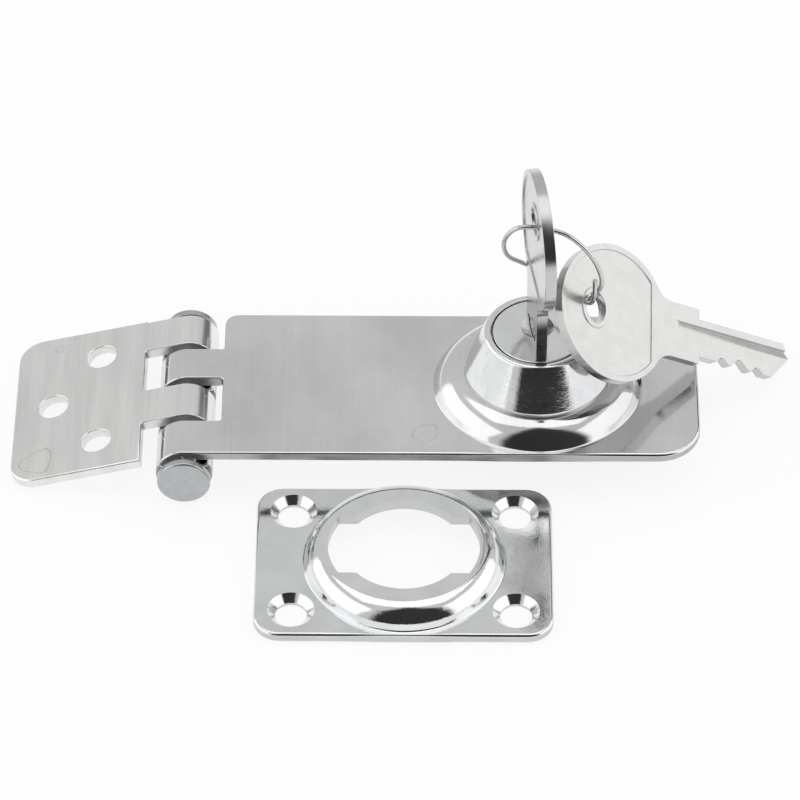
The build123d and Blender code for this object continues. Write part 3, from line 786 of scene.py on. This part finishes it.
def make_leaf():
    """Sheet with two rolled knuckles and three plain holes, drawn level and then tilted until its
    far edge lies on the table."""
    bm = bmesh.new()
    _, second, _, last = knuckle_ends()
    over_pin, shoulder = hinge_axis.x, hinge_axis.x - LEAF_SHOULDER
    far = hinge_axis.x - LEAF_REACH
    outline = [(far, leaf_low.y), (shoulder, leaf_low.y), (shoulder, second[0]),
               (over_pin, second[0]), (over_pin, second[1]), (shoulder, second[1]),
               (shoulder, last[0]), (over_pin, last[0]), (over_pin, last[1]), (shoulder, last[1]),
               (shoulder, leaf_high.y), (far, leaf_high.y)]
    verts = wire(bm, [(x, y, plate_top) for x, y in outline], closed=True)
    for place in (0, 11):
        round_corner(bm, verts[place], LEAF_CORNER)
    for place in (2, 5, 6):
        round_corner(bm, verts[place], TAB_ROOT, segments=4)
    bmesh.ops.edgeloop_fill(bm, edges=bm.edges[:])
    roll_knuckles(bm, 1)
    piece = sheet_piece("leaf_sheet", bm)
    along = Vector((-math.cos(leaf_tilt), 0, -math.sin(leaf_tilt)))
    holes = []
    for hole in leaf_holes:
        reach = (hole - hinge_axis).dot(along)
        holes.append(column("hole", (hinge_axis.x - reach, hole.y), [leaf_hole_radius] * 2,
                            plate_top - 2 * sizes().sheet, 3 * sizes().sheet))
    cut(piece, holes)
    piece.data.transform(Matrix.Translation(hinge_axis) @ Matrix.Rotation(-leaf_tilt, 4, "Y")
                         @ Matrix.Translation(-hinge_axis))
    mark_rims(piece)
    dress(piece, "brushed_steel", "leaf", "hinge_leaf", LEAF_RIM * sizes().sheet_edge)


def make_strike():
    """Sheet with a dome, the opening that the lock's cam passes, and four countersunk holes."""
    bm = bmesh.new()
    seat = sizes().sheet
    middle = Vector((0, 0, seat))
    pressed_dome(bm, middle, strike_high.z, STRIKE_DOME_FOOT, STRIKE_DOME_DRAFT,
                 sizes().strike_shoulder, OPENING_RADIUS / 2, strike_high.y)
    for end in (strike_low.x, strike_high.x):
        strip_side(bm, middle, strike_high.y, [(end, strike_low.y), (end, strike_high.y)],
                   {0: STRIKE_CORNER, 1: STRIKE_CORNER})
    piece = sheet_piece("strike_sheet", bm)
    through = 3 * strike_high.z
    wings = column("wings", (0, 0), (WING_RADIUS, WING_RADIUS), -seat, through)
    cut(wings, [box("front", (-FAR, -FAR, -FAR), (FAR, -WING_WIDTH / 2, FAR)),
                box("back", (-FAR, WING_WIDTH / 2, -FAR), (FAR, FAR, FAR))])
    cutters = [column("opening", (0, 0), (OPENING_RADIUS, OPENING_RADIUS), -seat, through), wings]
    sink = SCREW_HEAD_RADIUS - strike_hole_radius
    over = 0.5 * MM
    for hole in strike_holes:
        cutters.append(column("screw", hole, [strike_hole_radius] * 2, -seat, 3 * seat))
        cutters.append(column("sink", hole, (strike_hole_radius, SCREW_HEAD_RADIUS + over),
                              seat - sink, sink + over))
    cut(piece, cutters)
    mark_rims(piece, middle, WING_RADIUS + MM / 2, STRIKE_DOME_FOOT)
    dress(piece, "polished_chrome", "hasp", "strike_plate", sizes().sheet_edge)


def make_pin():
    """Pin with a flat head at each end."""
    head = (pin_high.z - pin_low.z) / 2
    shaft = barrel_radius - sizes().sheet - PIN_PLAY
    reach = pin_high.y - pin_low.y
    profile = ((0, 0), (head, 0, PIN_ROUND), (head, PIN_HEAD, PIN_INNER_ROUND), (shaft, PIN_HEAD),
               (shaft, reach - PIN_HEAD), (head, reach - PIN_HEAD, PIN_INNER_ROUND),
               (head, reach, PIN_ROUND), (0, reach))
    start = Vector((hinge_axis.x, pin_low.y, hinge_axis.z))
    piece = turned("headed_pin", start, profile, axis=Vector((0, 1, 0)))
    dress(piece, "zinc", "hasp", "hinge_pin")


def make_lock_body():
    """Tapered bezel and barrel, turned in one piece, with two flats on the barrel."""
    base = (body_high.x - body_low.x) / 2
    seat = hasp_high.z
    head_bore = (plug_high.x - plug_low.x) / 2 + PLUG_HEAD_GAP
    head_seat = plug_high.z - PLUG_HEAD
    profile = ((BORE_RADIUS, body_low.z), (BARREL_RADIUS, body_low.z), (BARREL_RADIUS, seat),
               (base, seat, 0.12 * MM), (base, seat + BEZEL_RIM, 0.2 * MM),
               (BEZEL_TOP_RADIUS, body_high.z, 0.45 * MM), (head_bore, body_high.z, 0.3 * MM),
               (head_bore, head_seat), (BORE_RADIUS, head_seat))
    piece = turned("bezel", lock_ground, profile)
    cut(piece, flats(BARREL_FLATS / 2, 2 * BARREL_RADIUS, -MM, seat - sizes().sheet / 2, lock_axis))
    dress(piece, "polished_chrome", "hasp", "lock_body")


def make_plug():
    """Round plug with a dished face, its keyway and a tail with two flats."""
    head = (plug_high.x - plug_low.x) / 2
    face = plug_high.z
    head_seat = face - PLUG_HEAD
    profile = ((0, 0), (TAIL_RADIUS, 0), (TAIL_RADIUS, CLIP_GROOVE_LOW),
               (CLIP_GROOVE_RADIUS, CLIP_GROOVE_LOW), (CLIP_GROOVE_RADIUS, CLIP_GROOVE_HIGH),
               (TAIL_RADIUS, CLIP_GROOVE_HIGH), (TAIL_RADIUS, body_low.z),
               (PLUG_RADIUS, body_low.z), (PLUG_RADIUS, head_seat), (head, head_seat),
               (head, face, 0.2 * MM), (0, face))
    piece = turned("plug_turned", Vector((0, 0, 0)), profile)
    half_gap = KEY_THICKNESS / 2 + KEYWAY_PLAY
    half_slot = BLADE_WIDTH / 2 + KEYWAY_PLAY
    tip = face - BLADE_LENGTH - KEYWAY_END
    ball = (DISH_RADIUS ** 2 + DISH_DEPTH ** 2) / (2 * DISH_DEPTH)
    keyway = box("keyway", (-half_gap, KEYWAY_OFFSET - half_slot, tip),
                 (half_gap, KEYWAY_OFFSET + half_slot, face + MM))
    dish = sphere("dish", (0, KEYWAY_OFFSET, face - DISH_DEPTH + ball), ball)
    cut(piece, [keyway, dish] + flats(TAIL_FLATS / 2, 2 * TAIL_RADIUS, -MM, body_low.z))
    piece.data.transform(Matrix.Translation(lock_ground) @ Matrix.Rotation(key_turn, 4, "Z"))
    dress(piece, "polished_chrome", "cylinder", "plug")


def swing(bm, vert, centre, turn, steps):
    """Carries a vertex round a centre, leaving an arc of edges; gives the arc's last vertex."""
    made = bmesh.ops.spin(bm, geom=[vert], cent=(*centre, vert.co.z), axis=UP, angle=turn,
                          steps=steps)
    return verts_in(made["geom_last"])[0]


def key_outline(bm, level):
    """Bow, neck and cut blade, as one loop of edges with the bow's middle at the origin."""
    half_neck = NECK_WIDTH / 2
    blade_low, blade_high = BLADE_SHIFT - BLADE_WIDTH / 2, BLADE_SHIFT + BLADE_WIDTH / 2
    blend_y = half_neck + NECK_BLEND
    blend_x = math.sqrt((BOW_RADIUS + NECK_BLEND) ** 2 - blend_y ** 2)
    lean = math.atan2(blend_y, blend_x)
    first = bm.verts.new((BOW_RADIUS * math.cos(lean), BOW_RADIUS * math.sin(lean), level))
    under = swing(bm, first, (0, 0), FULL_TURN - 2 * lean, BOW_STEPS)
    lower = swing(bm, under, (blend_x, -blend_y), -(math.pi / 2 - lean), BLEND_STEPS)
    points = [(BOW_TO_SHOULDER, -half_neck), (BOW_TO_SHOULDER, blade_low)]
    for place, depth in enumerate(CUT_DEPTHS):
        if depth:
            along = BOW_TO_SHOULDER + FIRST_CUT + place * CUT_PITCH
            flank = depth / math.tan(CUT_SLOPE)
            points += [(along - CUT_BASE / 2 - flank, blade_low), (along - CUT_BASE / 2, blade_low + depth),
                       (along + CUT_BASE / 2, blade_low + depth), (along + CUT_BASE / 2 + flank, blade_low)]
    tip = BOW_TO_SHOULDER + BLADE_LENGTH
    points += [(tip - TIP_LOWER, blade_low), (tip, TIP_AT), (tip - TIP_UPPER, blade_high),
               (BOW_TO_SHOULDER, blade_high), (BOW_TO_SHOULDER, half_neck)]
    verts = wire(bm, [(x, y, level) for x, y in points])
    upper = swing(bm, first, (blend_x, blend_y), math.pi / 2 - lean, BLEND_STEPS)
    bm.edges.new((lower, verts[0]))
    bm.edges.new((verts[-1], upper))


def groove_cutter(face):
    """The blade's groove: a steep wall, a floor that slopes up to the face, and a ramp at the bow's
    end."""
    start = BOW_TO_SHOULDER - GROOVE_RUN
    over = 0.3 * MM
    wide = GROOVE_WIDTH * (GROOVE_DEPTH + over) / GROOVE_DEPTH
    bm = bmesh.new()
    section = [(start, GROOVE_TOP, face + over), (start, GROOVE_TOP - wide, face + over),
               (start + GROOVE_RAMP, GROOVE_TOP - GROOVE_WALL, face - GROOVE_DEPTH)]
    bm.faces.new(wire(bm, section, closed=True))
    thicken(bm, (BLADE_LENGTH + GROOVE_RUN + MM, 0, 0))
    return new_object("groove", bm)


def make_key(name, node, place):
    """A round-bowed key with a recessed panel on both faces, a ring hole, a neck and a grooved
    blade."""
    half = KEY_THICKNESS / 2
    bm = bmesh.new()
    key_outline(bm, -half)
    bmesh.ops.edgeloop_fill(bm, edges=bm.edges[:])
    thicken(bm, (0, 0, KEY_THICKNESS))
    piece = new_object(name, bm)
    cutters = [column("hole", (-HOLE_OFFSET, 0), (HOLE_HALF_X, HOLE_HALF_X), -2 * half, 4 * half,
                      HOLE_HALF_Y / HOLE_HALF_X)]
    rim = HOLE_HALF_X + HOLE_BORDER
    rim_oval = (HOLE_HALF_Y + HOLE_BORDER) / rim
    panel_radius = BOW_RADIUS - PANEL_BORDER
    for side in (-1, 1):
        low, high = sorted((side * (half - PANEL_DEPTH), side * 2 * half))
        panel = column("panel", (0, 0), (panel_radius, panel_radius), low, high - low)
        cut(panel, [box("chord", (PANEL_CHORD, -FAR, -FAR), (FAR, FAR, FAR)),
                    column("rim", (-HOLE_OFFSET, 0), (rim, rim), -3 * half, 6 * half, rim_oval)])
        cutters.append(panel)
    cut(piece, cutters + [groove_cutter(half)])
    piece.data.transform(place)
    dress(piece, "nickel", "cylinder", node, sizes().key_edge, segments=2)


def key_place(bow, along, face):
    """Where a key is, from its bow's middle, its length's direction and its face's."""
    across = face.cross(along).normalized()
    axes = Matrix((along.normalized(), across, along.cross(across).normalized())).transposed()
    return Matrix.Translation(bow) @ axes.to_4x4()


def make_keys():
    """The key that stands in the keyway and the loose one on the same ring."""
    across_plug = Vector((math.cos(key_turn), math.sin(key_turn), 0))
    standing = Vector((lock_axis.x, lock_axis.y, plug_high.z + BOW_TO_SHOULDER))
    standing += UP.cross(across_plug) * (KEYWAY_OFFSET - BLADE_SHIFT)
    make_key("standing_key", "turned_key", key_place(standing, -UP, across_plug))
    make_key("loose_key", "spare_key", key_place(lock_ground + SPARE_BOW, SPARE_ALONG, SPARE_FACE))


def make_ring():
    """One turn of wire through both keys, its ends lapped."""
    curve = bpy.data.curves.new("ring", "CURVE")
    curve.dimensions = "3D"
    line = curve.splines.new("NURBS")
    line.points.add(len(RING_POINTS) - 1)
    for point, place in zip(line.points, RING_POINTS):
        point.co = (*(lock_ground + Vector(place) * MM), 1)
    line.order_u = 3
    line.use_endpoint_u = True
    line.resolution_u = 12
    curve.bevel_depth = sizes().ring_wire / 2
    curve.bevel_resolution = 5
    curve.use_fill_caps = True
    route = put_in_scene("route", curve)
    piece = put_in_scene("wire_ring", final_mesh(route))
    bpy.data.objects.remove(route)
    dress(piece, "spring_steel", "cylinder", "key_ring")


# Studio


def towards(azimuth, elevation):
    """A direction from the object in degrees: azimuth 0 is the camera's side and 90 is +X."""
    around, up = math.radians(azimuth), math.radians(elevation)
    return Vector((math.sin(around) * math.cos(up), -math.cos(around) * math.cos(up), math.sin(up)))


def glowing_panel(name, direction, size, glow):
    """An area lamp that faces the object from a direction, as bright to look at as glow says."""
    lamp = bpy.data.lights.new(name, "AREA")
    lamp.shape = "RECTANGLE"
    lamp.size, lamp.size_y = size
    lamp.energy = glow * math.pi * size[0] * size[1]
    panel = put_in_scene(name, lamp)
    panel.location = direction * PANEL_DISTANCE
    panel.rotation_euler = direction.to_track_quat("Z", "Y").to_euler()


def board_fade(tree, middle, half, soft, height):
    """0 in the middle of a board and 1 from an oval outline on, in the board's own directions."""
    place = add_node(tree, "TexCoord")
    parts = add_node(tree, "SeparateXYZ", {"Vector": place.outputs["Object"]})
    front = add_node(tree, "Math", {0: parts.outputs["Y"], 1: -1.0}, operation="MULTIPLY")
    around = add_node(tree, "Math", {0: parts.outputs["X"], 1: front.outputs["Value"]}, operation="ARCTAN2")
    aside = add_node(tree, "MapRange", {
        "Value": around.outputs["Value"], "From Min": math.radians(middle),
        "From Max": math.radians(middle + half)}, clamp=False)
    above = add_node(tree, "MapRange", {
        "Value": parts.outputs["Z"], "From Min": height * BOARD_MIDDLE, "From Max": height}, clamp=False)
    spot = add_node(tree, "CombineXYZ", {"X": aside.outputs["Result"], "Y": above.outputs["Result"]})
    off = add_node(tree, "VectorMath", {0: spot.outputs["Vector"]}, operation="LENGTH")
    fade = add_node(tree, "MapRange", {
        "Value": off.outputs["Value"], "From Min": 1 - soft, "From Max": 1.0},
        interpolation_type="SMOOTHSTEP")
    return fade.outputs["Result"]


def mix_into_output(tree, share, first, second):
    """Shows two shaders mixed, with the second one's share."""
    mixed = add_node(tree, "MixShader", {"Fac": share, 1: first, 2: second})
    tree.links.new(mixed.outputs["Shader"], tree.nodes["Material Output"].inputs["Surface"])


def dark_board(name, middle, half, soft, height):
    """A curved board of dark felt that leans in over the object and is seen only in reflections."""
    bm = bmesh.new()
    first = bm.verts.new(towards(middle - half, 0) * BOARD_RADIUS - UP * BOARD_DROP)
    bmesh.ops.spin(bm, geom=[first], cent=(0, 0, first.co.z), axis=UP,
                   angle=math.radians(2 * half), steps=BOARD_STEPS)
    top = verts_in(bmesh.ops.extrude_edge_only(bm, edges=bm.edges[:])["geom"])
    bmesh.ops.translate(bm, verts=top, vec=(0, 0, height))
    bmesh.ops.scale(bm, verts=top, vec=(BOARD_LEAN, BOARD_LEAN, 1))
    board = new_object(name, bm)
    felt, tree, shader = surface(name + "_felt", colour("felt"), 0.9, metallic=0)
    clear = add_node(tree, "BsdfTransparent")
    mix_into_output(tree, board_fade(tree, middle, half, soft, height), shader.outputs["BSDF"],
                    clear.outputs["BSDF"])
    board.data.materials.append(felt)
    board.visible_camera = False
    board.visible_diffuse = False
    board.visible_shadow = False


def make_floor():
    """Pale paper that keeps the object's shadow and is nearly white to the camera and in mirrors."""
    bm = bmesh.new()
    bmesh.ops.create_grid(bm, x_segments=1, y_segments=1, size=FLOOR_HALF)
    floor = new_object("floor", bm)
    paper, tree, shader = surface("pale_paper", colour("floor"), 0.6, metallic=0)
    glow = add_node(tree, "Emission", {"Color": (1, 1, 1, 1), "Strength": 1.0})
    rays = add_node(tree, "LightPath")
    seen = add_node(tree, "Math", {
        0: rays.outputs["Is Camera Ray"], 1: rays.outputs["Is Glossy Ray"]}, operation="MAXIMUM")
    share = add_node(tree, "Math", {0: seen.outputs["Value"], 1: FLOOR_GLOW}, operation="MULTIPLY")
    mix_into_output(tree, share.outputs["Value"], shader.outputs["BSDF"], glow.outputs["Emission"])
    floor.data.materials.append(paper)


def make_room(glow):
    """A pale room that is white to the camera and lights the object by its glow."""
    world = bpy.data.worlds.new("pale_room")
    bpy.context.scene.world = world
    world.use_nodes = True
    tree = world.node_tree
    background = tree.nodes["Background"]
    background.inputs["Color"].default_value = (1, 1, 1, 1)
    rays = add_node(tree, "LightPath")
    white = add_node(tree, "MapRange", {"Value": rays.outputs["Is Camera Ray"], "To Min": glow, "To Max": 1.0})
    tree.links.new(white.outputs["Result"], background.inputs["Strength"])


def make_camera(stage):
    """The camera, where the photo was taken from."""
    lens = bpy.data.cameras.new("photo_camera")
    lens.sensor_width = SENSOR_WIDTH
    lens.lens = stage.lens
    lens.clip_start = 10 * MM
    away = towards(-math.degrees(stage.camera_yaw), math.degrees(stage.camera_pitch))
    camera = put_in_scene("photo_camera", lens)
    camera.location = CAMERA_TARGET + away * stage.camera_distance
    camera.rotation_euler = away.to_track_quat("Z", "Y").to_euler()
    bpy.context.scene.camera = camera


# Operators and panel


class HASPLOCK_OT_inner(bpy.types.Operator):
    """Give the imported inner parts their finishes"""

    bl_idname = "hasplock.inner"
    bl_label = "Inner parts"
    bl_options = {"REGISTER", "UNDO"}

    def execute(self, context):
        for part in frame["record"]["subparts"]:
            node = frame["nodes"][part["node"]]
            node.data.materials.clear()
            node.data.materials.append(finish_of(part["material_slot"]))
        return {"FINISHED"}


class HASPLOCK_OT_hasp(bpy.types.Operator):
    """Make the hasp's domed sheet with its knuckles"""

    bl_idname = "hasplock.hasp"
    bl_label = "Hasp"
    bl_options = {"REGISTER", "UNDO"}

    def execute(self, context):
        make_hasp()
        return {"FINISHED"}


class HASPLOCK_OT_leaf(bpy.types.Operator):
    """Make the screw-on leaf"""

    bl_idname = "hasplock.leaf"
    bl_label = "Leaf"
    bl_options = {"REGISTER", "UNDO"}

    def execute(self, context):
        make_leaf()
        return {"FINISHED"}


class HASPLOCK_OT_pin(bpy.types.Operator):
    """Make the headed hinge pin"""

    bl_idname = "hasplock.pin"
    bl_label = "Hinge pin"
    bl_options = {"REGISTER", "UNDO"}

    def execute(self, context):
        make_pin()
        return {"FINISHED"}


class HASPLOCK_OT_strike(bpy.types.Operator):
    """Make the strike plate"""

    bl_idname = "hasplock.strike"
    bl_label = "Strike plate"
    bl_options = {"REGISTER", "UNDO"}

    def execute(self, context):
        make_strike()
        return {"FINISHED"}


class HASPLOCK_OT_cylinder(bpy.types.Operator):
    """Make the lock body and its plug"""

    bl_idname = "hasplock.cylinder"
    bl_label = "Cylinder"
    bl_options = {"REGISTER", "UNDO"}

    def execute(self, context):
        make_lock_body()
        make_plug()
        return {"FINISHED"}


class HASPLOCK_OT_keys(bpy.types.Operator):
    """Make the standing key, the loose key and their ring"""

    bl_idname = "hasplock.keys"
    bl_label = "Keys and ring"
    bl_options = {"REGISTER", "UNDO"}

    def execute(self, context):
        make_keys()
        make_ring()
        return {"FINISHED"}


class HASPLOCK_OT_stage(bpy.types.Operator):
    """Set up the floor, the boards, the lamps, the pale room and the camera"""

    bl_idname = "hasplock.stage"
    bl_label = "Stage"
    bl_options = {"REGISTER", "UNDO"}

    def execute(self, context):
        stage = context.scene.hasp_lock_stage
        context.scene.view_settings.view_transform = "Standard"
        make_floor()
        for board in BOARDS:
            dark_board(*board)
        for name, azimuth, elevation, size, glow in PANELS:
            glowing_panel(name, towards(azimuth, elevation), size, getattr(stage, glow))
        make_room(stage.room_glow)
        make_camera(stage)
        return {"FINISHED"}


OPERATORS = (HASPLOCK_OT_inner, HASPLOCK_OT_hasp, HASPLOCK_OT_leaf, HASPLOCK_OT_pin,
             HASPLOCK_OT_strike, HASPLOCK_OT_cylinder, HASPLOCK_OT_keys, HASPLOCK_OT_stage)
GROUPS = {"hasp_lock_sizes": HaspLockSizes, "hasp_lock_colours": HaspLockColours,
          "hasp_lock_stage": HaspLockStage}


class HASPLOCK_PT_panel(bpy.types.Panel):
    """The hasp lock's sizes, colours and steps."""

    bl_idname = "HASPLOCK_PT_panel"
    bl_label = "Hasp lock"
    bl_space_type = "VIEW_3D"
    bl_region_type = "UI"
    bl_category = "Hasp lock"

    def draw(self, context):
        for group_name in GROUPS:
            group = getattr(context.scene, group_name)
            section = self.layout.box()
            for name in group.__annotations__:
                section.prop(group, name)
        for operator in OPERATORS:
            self.layout.operator(operator.bl_idname)


def register():
    for name, group in GROUPS.items():
        bpy.utils.register_class(group)
        setattr(bpy.types.Scene, name, bpy.props.PointerProperty(type=group))
    for shown in OPERATORS + (HASPLOCK_PT_panel,):
        bpy.utils.register_class(shown)


def unregister():
    for shown in reversed(OPERATORS + (HASPLOCK_PT_panel,)):
        bpy.utils.unregister_class(shown)
    for name, group in GROUPS.items():
        delattr(bpy.types.Scene, name)
        bpy.utils.unregister_class(group)


def main():
    register()
    bpy.ops.hasplock.inner()
    bpy.ops.hasplock.hasp()
    bpy.ops.hasplock.leaf()
    bpy.ops.hasplock.pin()
    bpy.ops.hasplock.strike()
    bpy.ops.hasplock.cylinder()
    bpy.ops.hasplock.keys()
    bpy.ops.hasplock.stage()


if __name__ == "__main__":
    main()
